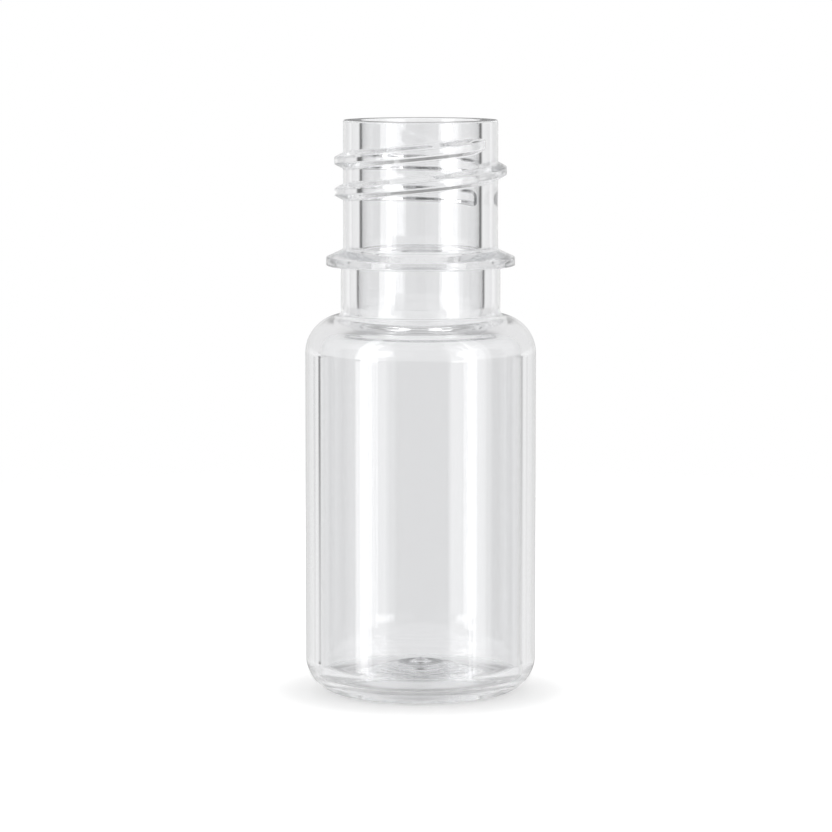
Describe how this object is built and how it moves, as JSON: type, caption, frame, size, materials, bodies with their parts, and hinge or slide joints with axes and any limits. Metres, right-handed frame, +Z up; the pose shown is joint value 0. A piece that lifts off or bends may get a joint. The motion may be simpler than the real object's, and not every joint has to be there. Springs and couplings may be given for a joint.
{
  "type": "pet bottle",
  "caption": "Small clear round bottle, blown in one piece, with a straight body, rounded shoulder and heel, support ring and threaded open neck.",
  "frame": {"origin": "centre of the standing ring, on the surface that the bottle stands on", "axes": "+Z up along the bottle's axis to the mouth, -Y towards the viewer of the picture, +X to the viewer's right; the thread starts at the front right"},
  "size_m": [0.0234, 0.0234, 0.0585],
  "materials": {
    "clear_pet": "clear, high gloss, as moulded"
  },
  "bodies": {
    "root": {"bottle": "clear_pet"}
  },
  "joints": []
}
